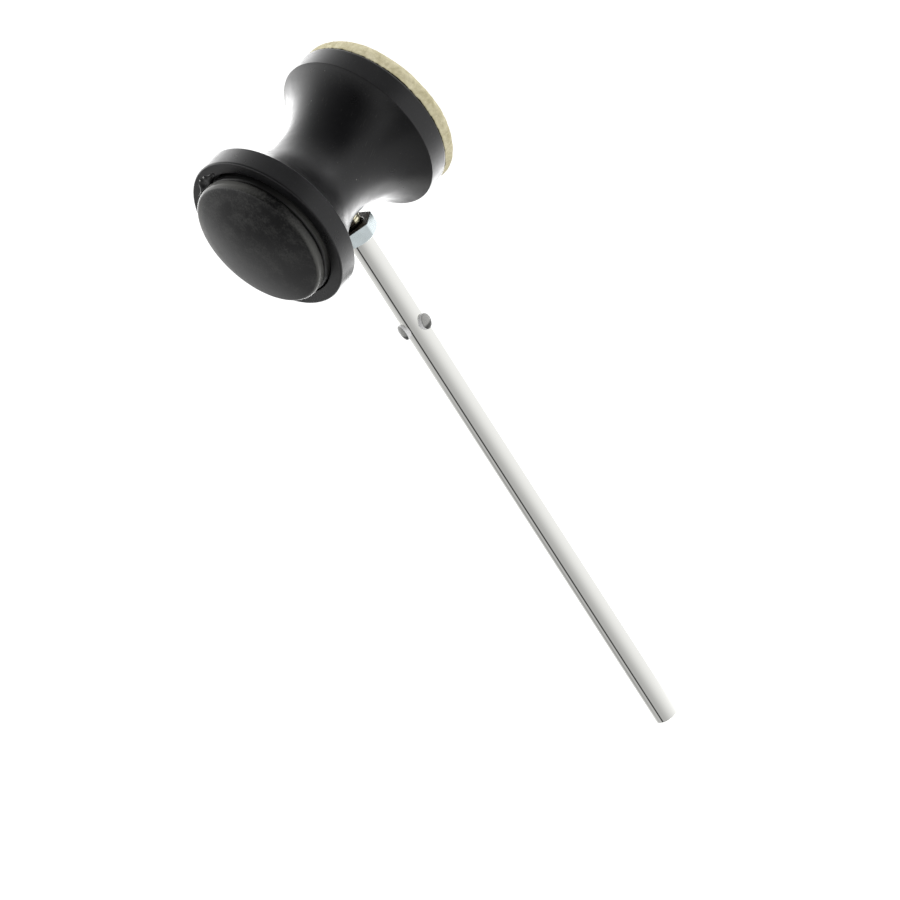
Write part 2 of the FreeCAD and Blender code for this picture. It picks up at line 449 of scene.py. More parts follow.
def dull_plated_steel(grey, dark):
    """Dull plate on a pressed lug: pitted grey top, walls painted white as a reflection, lower end painted
    dark as shade.
    """
    material, tree = blank("dull plated steel")
    place = add(tree, "TexCoord").outputs["Object"]
    top = add(tree, "Attribute", attribute_name="top").outputs["Fac"]
    low = add(tree, "Attribute", attribute_name="low").outputs["Fac"]
    # Pits of 0.4 mm
    pits = add(tree, "TexNoise", {"Vector": place, "Scale": per_metre(0.4), "Detail": 4.0})
    pit = linear("#707070")
    # The walls are painted white, a painted reflection of the white studio in their plate
    wall = linear("#ffffff")
    mottled = add(tree, "Mix", {SHARE: pits, FROM_COLOUR: pit, TO_COLOUR: grey}, data_type="RGBA")
    # The lower end is painted dark as painted shade
    shaded = add(tree, "Mix", {SHARE: low, FROM_COLOUR: mottled, TO_COLOUR: dark}, data_type="RGBA")
    tint = add(tree, "Mix", {SHARE: top, FROM_COLOUR: wall, TO_COLOUR: shaded}, data_type="RGBA")
    bump = add(tree, "Bump", {"Height": pits, "Distance": 0.03 * MM, "Strength": 0.6})
    shader = add(tree, "BsdfPrincipled", {"Base Color": tint, "Roughness": 0.5, "Normal": bump})
    add(tree, "OutputMaterial", {"Surface": shader})
    return material


def zinc_plated_steel(plate, upper_face_shade_tint):
    """Blue zinc plate on a cold formed nut: a pale metal with a cool tint, cloudy and softly blurred.

    Its upper face is painted brown-black as shade.
    """
    material, tree = blank("zinc plated steel")
    place = add(tree, "TexCoord").outputs["Object"]
    painted_shade = add(tree, "Attribute", attribute_name="painted_shade").outputs["Fac"]
    # Clouds of the passivated layer are about 2.5 mm across, the plated grain 0.15 mm
    clouds = add(tree, "TexNoise", {"Vector": place, "Scale": per_metre(2.5), "Detail": 3.0})
    fine = add(tree, "TexNoise", {"Vector": place, "Scale": per_metre(0.15), "Detail": 2.0})
    share = add(tree, "MapRange", {"Value": clouds, "From Min": 0.35, "From Max": 0.7})
    cloudy = linear("#e4eff1")
    clean = add(tree, "Mix", {SHARE: share, FROM_COLOUR: plate, TO_COLOUR: cloudy}, data_type="RGBA")
    # The upper face is painted brown-black as painted shade
    tint = add(tree, "Mix", {SHARE: painted_shade, FROM_COLOUR: clean, TO_COLOUR: upper_face_shade_tint}, data_type="RGBA")
    metal = add(tree, "MapRange", {"Value": painted_shade, "To Min": 1.0, "To Max": 0.0})
    blur = add(tree, "MapRange", {
        "Value": clouds, "From Min": 0.3, "From Max": 0.7, "To Min": 0.16, "To Max": 0.3,
    })
    bump = add(tree, "Bump", {"Height": fine, "Distance": 0.01 * MM, "Strength": 0.05})
    shader = add(tree, "BsdfPrincipled", {
        "Base Color": tint, "Metallic": metal, "Roughness": blur, "Normal": bump,
    })
    add(tree, "OutputMaterial", {"Surface": shader})
    return material


def moulded_satin_abs(black):
    """Black ABS moulded in a satin tool: deep black where it faces the eye, bright where seen flat on edge.

    It carries a faint moulded grain, a few dust specks and hairline scratches.
    """
    material, tree = blank("moulded satin ABS")
    place = add(tree, "TexCoord").outputs["Object"]
    # Moulded grain of 0.5 mm, and handling marks 12 mm across that change the gloss
    fine = add(tree, "TexNoise", {"Vector": place, "Scale": per_metre(0.5), "Detail": 3.0})
    marks = add(tree, "TexNoise", {
        "Vector": place, "Scale": per_metre(12), "Detail": 5.0, "Roughness": 0.6,
    })
    # Dust: cells of 5 mm, with a speck of about 0.45 mm in the middle of some
    cells = add(tree, "TexVoronoi", {"Vector": place, "Scale": per_metre(5)})
    speck = add(tree, "MapRange", {
        "Value": cells.outputs["Distance"], "From Min": 0.03, "From Max": 0.06, "To Min": 1.0, "To Max": 0.0,
    })
    chance = add(tree, "Math", (cells.outputs["Color"], 0.72), operation="GREATER_THAN")
    dust = add(tree, "Math", (speck, chance), operation="MULTIPLY")
    # Hairline scratches, drawn 0.25 mm wide so that they show, and 7 mm long, askew
    askew = add(tree, "Mapping", {
        "Vector": place, "Rotation": (0.5, 0.9, 0.3), "Scale": (0.25 * MM, 0.25 * MM, 7 * MM),
    }, vector_type="TEXTURE")
    scored = add(tree, "TexNoise", {"Vector": askew, "Scale": 1.0, "Detail": 1.0})
    scratch = add(tree, "MapRange", {"Value": scored, "From Min": 0.7, "From Max": 0.78, "To Max": 0.3})
    light = add(tree, "Math", (dust, scratch), operation="MAXIMUM")
    grey = linear("#6b6b66")
    tint = add(tree, "Mix", {SHARE: light, FROM_COLOUR: black, TO_COLOUR: grey}, data_type="RGBA")
    blur = add(tree, "MapRange", {
        "Value": marks, "From Min": 0.3, "From Max": 0.7, "To Min": 0.26, "To Max": 0.44,
    })
    bump = add(tree, "Bump", {"Height": fine, "Distance": 0.01 * MM, "Strength": 0.5})
    shader = add(tree, "BsdfPrincipled", {
        "Base Color": tint, "Roughness": blur, "IOR": 1.5, "Normal": bump,
    })
    add(tree, "OutputMaterial", {"Surface": shader})
    return material


def turned_brass(brass):
    """Brass turned on a lathe: a warm metal with fine rings of tool marks."""
    material, tree = blank("turned brass")
    place = add(tree, "TexCoord").outputs["Object"]
    # Tool marks 0.12 mm apart along the sleeve
    along = add(tree, "Mapping", {
        "Vector": place, "Scale": (per_metre(6), per_metre(6), per_metre(0.12)),
    })
    rings = add(tree, "TexNoise", {"Vector": along, "Scale": 1.0, "Detail": 2.0})
    blur = add(tree, "MapRange", {"Value": rings, "To Min": 0.2, "To Max": 0.4})
    shader = add(tree, "BsdfPrincipled", {"Base Color": brass, "Metallic": 1.0, "Roughness": blur})
    add(tree, "OutputMaterial", {"Surface": shader})
    return material


def cut_sheet_rubber(rubber, wear_and_highlight):
    """Rubber sheet cut to a disc: matte black, with a slightly torn, grainy edge and a painted grey highlight
    in places.
    """
    material, tree = blank("cut sheet rubber")
    place = add(tree, "TexCoord").outputs["Object"]
    rim = add(tree, "Attribute", attribute_name="rim").outputs["Fac"]
    # Torn grain of 0.35 mm
    torn = add(tree, "TexNoise", {"Vector": place, "Scale": per_metre(0.35), "Detail": 4.0})
    blur = add(tree, "MapRange", {"Value": torn, "To Min": 0.3, "To Max": 0.5})
    bump = add(tree, "Bump", {"Height": torn, "Distance": 0.06 * MM, "Strength": 0.6})
    # The rim attribute paints a highlight on the edge
    tint = add(tree, "Mix", {SHARE: rim, FROM_COLOUR: rubber, TO_COLOUR: wear_and_highlight}, data_type="RGBA")
    shader = add(tree, "BsdfPrincipled", {
        "Base Color": tint, "Roughness": blur, "IOR": 1.5, "Normal": bump,
    })
    add(tree, "OutputMaterial", {"Surface": shader})
    return material


def moulded_hard_rubber(rubber, scuff, wear_and_highlight):
    """Hard rubber that meets the drum: matte, grey with clouds of scuffs, pale at rim and side from wear and
    a painted highlight.
    """
    material, tree = blank("moulded hard rubber")
    place = add(tree, "TexCoord").outputs["Object"]
    rim = add(tree, "Attribute", attribute_name="rim").outputs["Fac"]
    # Scuff clouds are about 6 mm across, broken up by a grit of 0.6 mm
    clouds = add(tree, "TexNoise", {
        "Vector": place, "Scale": per_metre(6), "Detail": 6.0, "Roughness": 0.65,
    })
    grit = add(tree, "TexNoise", {"Vector": place, "Scale": per_metre(0.6), "Detail": 3.0})
    broken = add(tree, "Mix", {SHARE: 0.35, FROM_NUMBER: clouds, TO_NUMBER: grit})
    scuffed = add(tree, "MapRange", {
        "Value": broken, "From Min": 0.48, "From Max": 0.68, "To Max": 0.9,
    })
    face = add(tree, "Mix", {SHARE: scuffed, FROM_COLOUR: rubber, TO_COLOUR: scuff}, data_type="RGBA")
    # The band of wear and painted highlight is kept on the piece, and the grit frays it
    frayed = add(tree, "Math", (grit, 0.5, rim), operation="MULTIPLY_ADD")
    bare = add(tree, "MapRange", {"Value": frayed, "From Min": 0.35, "From Max": 1.1})
    tint = add(tree, "Mix", {SHARE: bare, FROM_COLOUR: face, TO_COLOUR: wear_and_highlight}, data_type="RGBA")
    blur = add(tree, "MapRange", {"Value": scuffed, "To Min": 0.3, "To Max": 0.48})
    bump = add(tree, "Bump", {"Height": grit, "Distance": 0.03 * MM, "Strength": 0.5})
    shader = add(tree, "BsdfPrincipled", {
        "Base Color": tint, "Roughness": blur, "IOR": 1.42, "Normal": bump,
    })
    add(tree, "OutputMaterial", {"Surface": shader})
    return material


def dried_contact_glue(rubber):
    """Glue that was squeezed out and dried: wet-looking black, with white specks along its edge, partly
    trapped and partly painted glints.
    """
    material, tree = blank("dried contact glue")
    place = add(tree, "TexCoord").outputs["Object"]
    edge = add(tree, "Attribute", attribute_name="edge").outputs["Fac"]
    # Cells of 0.8 mm, with a speck of about 0.5 mm in some
    cells = add(tree, "TexVoronoi", {"Vector": place, "Scale": per_metre(0.8)})
    speck = add(tree, "MapRange", {
        "Value": cells.outputs["Distance"], "From Min": 0.25, "From Max": 0.4, "To Min": 1.0, "To Max": 0.0,
    })
    chance = add(tree, "Math", (cells.outputs["Color"], 0.5), operation="GREATER_THAN")
    rare = add(tree, "Math", (chance, edge), operation="MULTIPLY")
    # White specks along the outer edge: partly trapped specks, partly painted glints
    specks_and_glints = add(tree, "Math", (speck, rare), operation="MULTIPLY")
    white = linear("#f4f4f0")
    tint = add(tree, "Mix", {SHARE: specks_and_glints, FROM_COLOUR: rubber, TO_COLOUR: white}, data_type="RGBA")
    shader = add(tree, "BsdfPrincipled", {"Base Color": tint, "Roughness": 0.14, "IOR": 1.36})
    add(tree, "OutputMaterial", {"Surface": shader})
    return material


def pressed_wool_felt(name, pale, dark, glue):
    """Pressed wool: dry and matte, mottled cream to khaki by matted fibres, with a soft bloom at its edge.

    Its side is near black at the foot, along the joint with the core.
    """
    material, tree = blank(name)
    place = add(tree, "TexCoord").outputs["Object"]
    # Matted clumps of 3 mm, fibres of 0.35 mm
    clumps = add(tree, "TexNoise", {
        "Vector": place, "Scale": per_metre(3), "Detail": 5.0, "Distortion": 1.2,
    })
    fibres = add(tree, "TexNoise", {
        "Vector": place, "Scale": per_metre(0.35), "Detail": 4.0, "Distortion": 2.5,
    })
    mixed = add(tree, "Mix", {SHARE: 0.45, FROM_NUMBER: clumps, TO_NUMBER: fibres})
    share = add(tree, "MapRange", {"Value": mixed, "From Min": 0.38, "From Max": 0.62})
    wool = add(tree, "Mix", {SHARE: share, FROM_COLOUR: dark, TO_COLOUR: pale}, data_type="RGBA")
    # The near black foot reaches about 0.3 mm up, further in some places
    height = add(tree, "SeparateXYZ", {"Vector": place}).outputs["X"]
    uneven = add(tree, "Math", (clumps, 0.9 * MM, height), operation="MULTIPLY_ADD")
    glued = add(tree, "MapRange", {
        "Value": uneven,
        "From Min": FELT_FACE + 0.6 * MM,
        "From Max": FELT_FACE + 0.85 * MM,
        "To Min": 1.0,
        "To Max": 0.0,
    })
    tint = add(tree, "Mix", {SHARE: glued, FROM_COLOUR: wool, TO_COLOUR: glue}, data_type="RGBA")
    bump = add(tree, "Bump", {"Height": fibres, "Distance": 0.12 * MM, "Strength": 0.6})
    shader = add(tree, "BsdfPrincipled", {
        "Base Color": tint,
        "Roughness": 0.95,
        "Specular IOR Level": 0.2,
        "Sheen Weight": 0.35,
        "Sheen Roughness": 0.5,
        "Sheen Tint": linear("#fff8e0"),
        "Normal": bump,
    })
    add(tree, "OutputMaterial", {"Surface": shader})
    return material


def shaft_radius(sizes, height, angles):
    """The shaft's radius at heights and angles.

    The thread is a rolled one: a broad flat ridge that climbs one pitch in a turn, with a narrow groove
    beside it. It fades in above the nut's foot, and ends in a bevel.
    """
    rod = sizes.diameter / 2
    crest = rod - sizes.thread_undersize
    turns = height / sizes.thread_pitch - angles / (2 * math.pi)
    from_crest = np.abs(turns - np.round(turns)) * 2
    fade = smooth_step(NUT_FOOT, NUT_FOOT + sizes.thread_pitch, height)
    # The ridge's flat is 0.7 of the pitch wide
    threaded = crest - sizes.thread_depth * smooth_step(0.7, 0.95, from_crest) * fade
    narrowing = 0.4 * MM
    run_out = smooth_step(NUT_FOOT - narrowing, NUT_FOOT, height)
    radius = rod + (threaded - rod) * run_out
    bevel = crest - sizes.tip_chamfer + SHAFT_TIP - height
    return np.minimum(radius, bevel)


def shaft_surface(sizes):
    """The shaft: rings of a bevelled foot, and above it rings of the shaft's radius up to its tip.

    The other results say where the thread is and where painted shade lies on it.
    """
    rod = sizes.diameter / 2
    chamfer = sizes.foot_chamfer
    beside = 0.05 * MM
    foot = np.array([
        (0, rod / 2),
        (0, rod - chamfer - beside),
        (0, rod - chamfer),
        (beside, rod - chamfer + beside),
        (chamfer - beside, rod - beside),
    ])
    plain_foot = chamfer + 1 * MM
    plain_rows = 40
    below_nut = 0.6 * MM
    thread_foot = NUT_FOOT - below_nut
    rows_per_turn = 13
    thread_rows = round((SHAFT_TIP - thread_foot) / sizes.thread_pitch * rows_per_turn)
    heights = np.concatenate([
        [chamfer, chamfer + beside],
        np.linspace(plain_foot, thread_foot, plain_rows, endpoint=False),
        np.linspace(thread_foot, SHAFT_TIP, thread_rows),
    ])[:, None]
    angles = round_angles(columns=192)
    rings = np.vstack([
        rings_round_shaft(*np.hsplit(foot, 2), angles),
        rings_round_shaft(heights, shaft_radius(sizes, heights, angles), angles),
    ])
    thread_fade = 1 * MM
    thread = smooth_step(NUT_FOOT, NUT_FOOT + thread_fade, heights) * np.ones_like(angles)
    bare = np.zeros((len(foot), len(angles)))
    # The thread is painted dark as shade, all but a painted highlight on the -Y side above the nut
    thread_highlight = between(256, 266, 326, 340, np.degrees(angles))
    highlight_foot = NUT_TOP + 0.8 * MM
    highlight_full = NUT_TOP + 1.2 * MM
    painted_shade = thread * (1 - thread_highlight * smooth_step(highlight_foot, highlight_full, heights))
    surface = skin(rings, start=(0, 0, 0), end=(0, 0, SHAFT_TIP))
    return surface, np.vstack([bare, thread]), np.vstack([bare, painted_shade])


class BEATER_OT_chromed_shaft(bpy.types.Operator):
    """Make the chromed shaft with its thread"""

    bl_idname = "beater.chromed_shaft"
    bl_label = "Chromed shaft"

    def execute(self, context):
        sizes = context.scene.beater_shaft
        surface, thread, painted_shade = shaft_surface(sizes)
        material = chromed_drawn_steel(sizes.plate, sizes.painted_shade_tint)
        piece = dress("chromed_shaft", surface, material, "shaft", "chromed_steel", "shaft")
        add_attribute(piece, "thread", thread, poles=(0, 0))
        add_attribute(piece, "painted_shade", painted_shade, poles=(0, 0))
        return {"FINISHED"}


def lug_surface(sizes, rod):
    """The stop lugs: each has an oval wall from inside the rod, a rounded rim and a domed top.

    The dome adds its height times 1 - (out / radius)^2. The other results say which points are on a lug's
    top, clear of the walls' painted white, and where painted shade lies at its lower end.
    """
    radius = sizes.lug_length / 2
    rim = rod + sizes.lug_height - sizes.lug_dome
    inside = rod * 0.6
    inner_edge = 0.1 * MM
    wall = rounded([
        (inside, radius / 2, 0),
        (inside, radius, inner_edge),
        (rim, radius, sizes.lug_edge),
        (rim, 0, 0),
    ])[:-1]
    flat = [(rim, radius * share) for share in np.linspace(0.8, 0.2, 5)]
    stand, out = np.hsplit(np.vstack([wall, flat]), 2)
    top_depth = 0.5 * MM
    near_top = smooth_step(rim - top_depth, rim, stand)
    angles = round_angles(columns=72)
    ahead = (stand + sizes.lug_dome * near_top * (1 - (out / radius) ** 2)) * np.ones_like(angles)
    across = out * np.cos(angles) * sizes.lug_width / sizes.lug_length
    above = out * np.sin(angles)
    level = np.array([0.0, 0.0, HEAD_HEIGHT - sizes.lug_drop])
    lugs = []
    for number in range(sizes.lug_count):
        turn = sizes.lug_angle + number * 2 * math.pi / sizes.lug_count
        outward = np.array([math.cos(turn), math.sin(turn), 0.0])
        sideways = np.array([-math.sin(turn), math.cos(turn), 0.0])
        rings = level + ahead[..., None] * outward + across[..., None] * sideways
        rings[..., 2] += above
        top = level + outward * (rod + sizes.lug_height)
        lugs.append(skin(rings, start=level + outward * inside, end=top))
    # Each lug's points end with its two poles, the inner one and the one on its top
    # The top mask keeps the walls' painted white off the lug's top
    faces_out = smooth_step(0.3, 0.9, near_top) * np.ones_like(angles)
    on_top = np.tile(np.append(faces_out, (0, 1)), sizes.lug_count)
    # Painted shade darkens each lug's lower end
    lower = smooth_step(0.1, 0.4, -above / radius)
    painted_lower_shade = np.tile(np.append(lower, (0, 0)), sizes.lug_count)
    return stacked(lugs), on_top, painted_lower_shade


class BEATER_OT_stop_lugs(bpy.types.Operator):
    """Make the stop lugs that stand out of the shaft"""

    bl_idname = "beater.stop_lugs"
    bl_label = "Stop lugs"

    def execute(self, context):
        sizes = context.scene.beater_lugs
        surface, on_top, painted_lower_shade = lug_surface(sizes, context.scene.beater_shaft.diameter / 2)
        material = dull_plated_steel(sizes.grey, sizes.dark)
        piece = dress("stop_lugs", surface, material, "shaft", "chromed_steel")
        add_attribute(piece, "top", on_top)
        add_attribute(piece, "low", painted_lower_shade)
        return {"FINISHED"}


def nut_surface(sizes):
    """The lock nut: rings of a hexagon with softened corners on its outside, and of circles at its hole.

    The hexagon's radius is its apothem over the 60-norm of the cosines to its three pairs of flats. Its lower
    corners are turned down by a cone of 30 degrees that starts inside the flats. The second result is 1 for
    the rings of the upper face.
    """
    angles = round_angles(columns=360)
    flat = sizes.across_flats / 2
    first_flat = sizes.turn + math.pi / 6
    sharpness = 60
    cosines = np.cos(angles - first_flat - np.arange(3)[:, None] * math.pi / 3)
    side = flat / (np.abs(cosines) ** sharpness).sum(axis=0) ** (1 / sharpness)
    ease = sizes.edge_ease
    bore = sizes.bore / 2
    mouth = bore + sizes.countersink
    cone = flat * 0.95
    rise = (side - cone) * math.tan(math.radians(30))
    sides = [
        (NUT_FOOT + sizes.countersink, bore),
        (NUT_FOOT + ease / 2, mouth - ease / 2),
        (NUT_FOOT, mouth + ease / 2),
        (NUT_FOOT, mouth + ease),
        (NUT_FOOT, cone - ease),
        (NUT_FOOT, cone),
        (NUT_FOOT + rise * 0.1, cone + (side - cone) * 0.1),
        (NUT_FOOT + rise * 0.9, cone + (side - cone) * 0.9),
        (NUT_FOOT + rise, side),
        (NUT_FOOT + rise + ease, side),
        (NUT_TOP - 2 * ease, side),
        (NUT_TOP - ease, side),
        (NUT_TOP - ease * 0.3, side - ease * 0.3),
    ]
    upper = [
        (NUT_TOP, side - ease),
        (NUT_TOP, side - 2 * ease),
        (NUT_TOP, mouth + ease),
        (NUT_TOP, mouth + ease / 2),
        (NUT_TOP - ease / 2, mouth - ease / 2),
        (NUT_TOP - sizes.countersink, bore),
    ]
    rings = np.stack([rings_round_shaft(height, out, angles) for height, out in sides + upper])
    on_upper = np.repeat([0.0, 1.0], [len(sides) * len(angles), len(upper) * len(angles)])
    return skin(rings, loop=True), on_upper


class BEATER_OT_lock_nut(bpy.types.Operator):
    """Make the hexagon lock nut"""

    bl_idname = "beater.lock_nut"
    bl_label = "Lock nut"

    def execute(self, context):
        sizes = context.scene.beater_nut
        surface, on_upper = nut_surface(sizes)
        material = zinc_plated_steel(sizes.plate, sizes.upper_face_shade_tint)
        piece = dress("zinc_lock_nut", surface, material, "lock_nut", "zinc_plated_steel", "lock_nut")
        add_attribute(piece, "painted_shade", on_upper)
        return {"FINISHED"}


def insert_outside(sizes):
    """The insert's outside, from its foot to its top, as (height, out) points with a bevel at each end."""
    outer = sizes.insert_diameter / 2
    chamfer = sizes.insert_chamfer
    return [
        (INSERT_FOOT, outer - chamfer),
        (INSERT_FOOT + chamfer, outer),
        (INSERT_TOP - chamfer, outer),
        (INSERT_TOP, outer - chamfer),
    ]


def waist_curve(sizes):
    """The radius of the waist's arc, which goes from band to band through the narrowest place."""
    half = sizes.waist_span / 2
    depth = (sizes.band_diameter - sizes.waist_diameter) / 2
    return (half ** 2 + depth ** 2) / (2 * depth)


def waist_radius(sizes, along):
    """The waist's radius at x: w + c - sqrt(c^2 - x^2), where w is the narrowest and c the arc's radius."""
    curve = waist_curve(sizes)
    return sizes.waist_diameter / 2 + curve - np.sqrt(curve ** 2 - along ** 2)


def core_profile(sizes):
    """The core's outline as (along, out) points in three stretches: hard side, waist and felt side.

    The waist's arc stops where the rounding of the bands' edges starts.
    """
    band = sizes.band_diameter / 2
    half = sizes.waist_span / 2
    recess = band - sizes.band_wall
    slope = half / math.sqrt(waist_curve(sizes) ** 2 - half ** 2)
    reach = sizes.waist_edge * math.tan(math.atan(slope) / 2)
    arc_half = half - reach * math.cos(math.atan(slope))
    inside = half - 4 * reach
    inside_out = band - 4 * reach * slope
    recess_corner = 0.3 * MM
    hard_side = rounded([
        (RECESS_FLOOR, recess / 2, 0),
        (RECESS_FLOOR, recess, recess_corner),
        (HARD_FACE, recess, sizes.recess_edge),
        (HARD_FACE, band, sizes.band_edge),
        (-half, band, sizes.waist_edge),
        (-inside, inside_out, 0),
    ])[:-3]
    felt_side = rounded([
        (inside, inside_out, 0),
        (half, band, sizes.waist_edge),
        (FELT_FACE, band, sizes.band_edge),
        (FELT_FACE, band / 2, 0),
    ])[3:]
    arc_rows = 97
    arc = np.linspace(-arc_half, arc_half, arc_rows)
    return hard_side, np.stack([arc, waist_radius(sizes, arc)], axis=-1), felt_side


def entry_hollow(sizes, edge):
    """The waist close to the shaft's hole, the hole's rounded edge and wall, and the insert's pocket.

    Its columns run from a ring of points on the waist straight to the hole's rim, seen along the shaft, and
    on up the hole's wall.
    """
    turn = np.arctan2(edge[:, 1], edge[:, 0])
    hole = sizes.entry_diameter / 2
    ease = 0.35 * MM
    rim = np.stack([np.cos(turn), np.sin(turn)], axis=-1) * (hole + ease)
    # Rows of the patch lie closer towards the hole
    patch_rows = 17
    crowding = 0.8
    shares = np.linspace(0, 1, patch_rows)[:, None, None] ** crowding
    flat = edge[None, :, :2] * (1 - shares) + rim * shares
    height = HEAD_HEIGHT - np.sqrt(waist_radius(sizes, flat[..., 0]) ** 2 - flat[..., 1] ** 2)
    patch = np.concatenate([flat, height[..., None]], axis=-1)
    patch[0] = edge
    # The hole's edge is rounded by a quarter of a circle
    ease_rows = 6
    quarter = np.linspace(0, math.pi / 2, ease_rows)[1:, None]
    eased_height = height[-1] + ease * (1 - np.cos(quarter))
    eased = rings_round_shaft(eased_height, hole + ease * (1 - np.sin(quarter)), turn)
    pocket = np.array([(INSERT_FOOT, hole)] + insert_outside(sizes))
    wall = rings_round_shaft(*np.hsplit(pocket, 2), turn)
    return skin(np.vstack([patch, eased, wall]), end=(0, 0, INSERT_TOP))


def core_surface(sizes):
    """The head's core: a turned surface with a round hole in its waist that opens into the insert's pocket.

    Round the hole a window is left out of the turned grid, and a second grid fills it.
    """
    hard_side, waist, felt_side = core_profile(sizes)
    profile = np.vstack([hard_side, waist, felt_side])
    angles = round_angles(columns=256)
    rings = rings_round_head(*np.hsplit(profile, 2), angles)
    turned = skin(rings, start=(RECESS_FLOOR, 0, HEAD_HEIGHT), end=(FELT_FACE, 0, HEAD_HEIGHT))
    # The window is 40 cells each way, about the lowest point of the waist
    window = 20
    middle = len(hard_side) + len(waist) // 2
    quads = turned.quads.reshape(len(profile) - 1, len(angles), 4)
    numbers = np.arange(len(angles))
    near = (numbers < window) | (numbers >= len(angles) - window)
    kept = np.ones(quads.shape[:2], bool)
    kept[middle - window:middle + window, near] = False
    turned = turned._replace(quads=quads[kept])
    # The window's edge as one closed ring of points
    steps = np.arange(-window, window)
    side = np.full(2 * window, window)
    edge_rows = np.concatenate([-side, steps, side, -steps]) + middle
    edge_columns = np.concatenate([steps, side, -steps, -side])
    return joined([turned, entry_hollow(sizes, rings[edge_rows, edge_columns])])


class BEATER_OT_head_core(bpy.types.Operator):
    """Make the waisted core of the head and the insert in it"""

    bl_idname = "beater.head_core"
    bl_label = "Head core"

    def execute(self, context):
        sizes = context.scene.beater_core
        surface = core_surface(sizes)
        dress("moulded_core", surface, moulded_satin_abs(sizes.black), "head", "black_moulding", "head_core")
        bore = sizes.insert_bore / 2
        sleeve = np.array([(INSERT_FOOT, bore)] + insert_outside(sizes) + [(INSERT_TOP, bore)])
        rings = rings_round_shaft(*np.hsplit(sleeve, 2), round_angles(columns=96))
        brass = turned_brass(sizes.brass)
        piece = dress("brass_insert", skin(rings, loop=True), brass, "head", "insert_brass", "thread_insert")
        piece.data.set_sharp_from_angle(angle=math.radians(30))
        return {"FINISHED"}


def backing_surface(sizes, angles):
    """The backing: a disc whose cut edge wanders by two sines of the angle, most at the cap and towards -Y.

    The second result says how much painted highlight lies on its points.
    """
    radius = sizes.diameter / 2
    floor_edge = 0.2 * MM
    outline = rounded([
        (BACKING_FACE, 0, 0),
        (BACKING_FACE, radius, sizes.backing_edge),
        (RECESS_FLOOR, radius, floor_edge),
        (RECESS_FLOOR, 0, 0),
    ])[1:-1]
    along, out = np.hsplit(outline, 2)
    rings = rings_round_head(along, out, angles)
    uneven = sizes.ripple * (0.35 + 0.65 * smooth_step(-0.2, 0.8, -np.sin(angles)))
    long_wave = np.sin(9 * angles + 1.3) * 0.6
    short_wave = np.sin(23 * angles) * 0.25
    wave = long_wave + short_wave - 0.3
    near_face = smooth_step(0, 1, (RECESS_FLOOR - along) / (RECESS_FLOOR - BACKING_FACE))
    near_edge = smooth_step(0.8, 1, out / radius)
    scale = 1 + uneven * wave * near_face * near_edge / radius
    rings = HEAD_CENTRE + (rings - HEAD_CENTRE) * np.stack([np.ones_like(scale), scale, scale], axis=-1)
    # It was glued off centre, down and towards -Y
    rings = rings + sizes.backing_shift * np.array([0.0, -0.6, -0.8])
    surface = skin(rings, start=(BACKING_FACE, 0, HEAD_HEIGHT), end=(RECESS_FLOOR, 0, HEAD_HEIGHT))
    # Its edge is painted lighter on the -Y side as a highlight, away from the black joint with the cap
    joint = 0.3 * MM
    clear_of_joint = 0.9 * MM
    wear_and_highlight = smooth_step(joint, clear_of_joint, np.abs(along - BACKING_FACE))
    return surface, wear_and_highlight * bump_round(np.degrees(angles), middle=272, width=34)


def cap_surface(sizes, angles):
    """The striking cap: a disc with a rounded rim, domed by an arc of a sphere from its rim to its top.

    The second result says how much wear, painted highlight and painted sheen lie on its points.
    """
    radius = sizes.diameter / 2
    rim = BACKING_FACE - sizes.cap_edge_height
    dome = rim - CAP_TOP
    sphere = (radius ** 2 + dome ** 2) / (2 * dome)
    slope = radius / math.sqrt(sphere ** 2 - radius ** 2)
    reach = sizes.cap_edge * math.tan((math.pi / 2 - math.atan(slope)) / 2)
    arc_rows = 40
    arc_out = np.linspace(0, radius - reach, arc_rows)[1:-1]
    arc = np.stack([rim - np.sqrt(sphere ** 2 - arc_out ** 2) + sphere - dome, arc_out], axis=-1)
    joint_edge = 0.8 * MM
    side = rounded([
        (rim - 4 * reach * slope, radius - 4 * reach, 0),
        (rim, radius, sizes.cap_edge),
        (BACKING_FACE, radius, joint_edge),
        (BACKING_FACE, 0, 0),
    ])[2:-1]
    along, out = np.hsplit(np.vstack([arc, side]), 2)
    rings = rings_round_head(along, out, angles)
    surface = skin(rings, start=(CAP_TOP, 0, HEAD_HEIGHT), end=(BACKING_FACE, 0, HEAD_HEIGHT))
    # Its rim and side are pale with wear and a painted highlight, least at about a sixth of a turn from the
    # top, on the -Y side
    degrees = np.degrees(angles)
    rim_width = 1.0 * MM
    rim_full = 0.1 * MM
    wear_and_highlight = smooth_step(radius - rim_width, radius - rim_full, out)
    wear_and_highlight = wear_and_highlight * (1 - 0.9 * bump_round(degrees, middle=236, width=34))
    joint = 0.3 * MM
    clear_of_joint = 1.0 * MM
    wear_and_highlight = wear_and_highlight * smooth_step(joint, clear_of_joint, np.abs(along - BACKING_FACE))
    # Its face is painted grey towards the rim on the +Y side, a painted sheen
    sheen_width = 5.0 * MM
    painted_sheen = smooth_step(radius - sheen_width, radius, out) * bump_round(degrees, middle=95, width=60)
    return surface, np.maximum(wear_and_highlight, painted_sheen)


